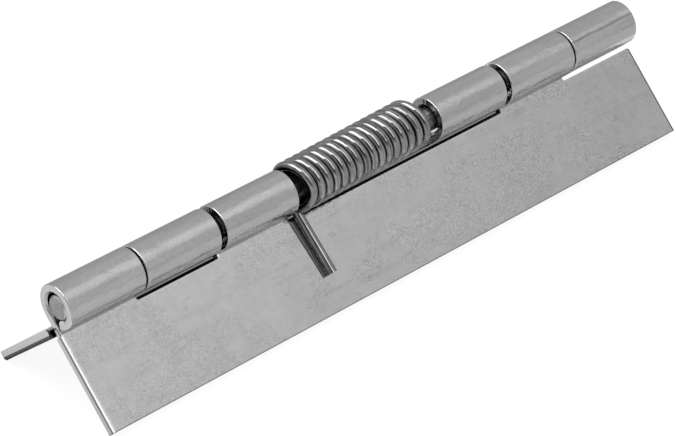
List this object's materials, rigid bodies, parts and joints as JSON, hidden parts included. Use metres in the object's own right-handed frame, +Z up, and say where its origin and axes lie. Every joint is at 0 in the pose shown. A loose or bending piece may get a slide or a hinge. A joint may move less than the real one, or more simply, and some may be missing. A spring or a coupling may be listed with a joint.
{
  "type": "spring loaded door hinge",
  "caption": "Spring loaded weld-on butt hinge: plain stainless leaves rolled round a pin, with a torsion spring in the middle of the barrel.",
  "frame": {"origin": "on the floor under the middle of the pin, as the hinge stands on the free edges of its leaves", "axes": "+X along the pin, +Z up from the floor to the barrel, -Y to the leaf that the camera sees"},
  "size_m": [0.1504, 0.0326, 0.0265],
  "materials": {
    "leaf_steel": "cold-rolled stainless sheet, soft grey sheen with faint rolling lines and handling marks",
    "pin_steel": "drawn bar, satin",
    "spring_wire": "drawn spring wire, smooth and bright"
  },
  "bodies": {
    "front": {"front_leaf": "leaf_steel", "hinge_pin": "pin_steel", "torsion_spring": "spring_wire"},
    "back": {"back_leaf": "leaf_steel"}
  },
  "joints": [
    {"name": "leaf_swing", "type": "hinge", "parent": "front", "child": "back", "pos_m": [0, 0, 0.0206], "axis": [1, 0, 0], "range_deg": [-10, 266], "stiffness_Nm_per_rad": 0.32, "springref_deg": -1.72, "deforming": ["torsion_spring"]}
  ]
}
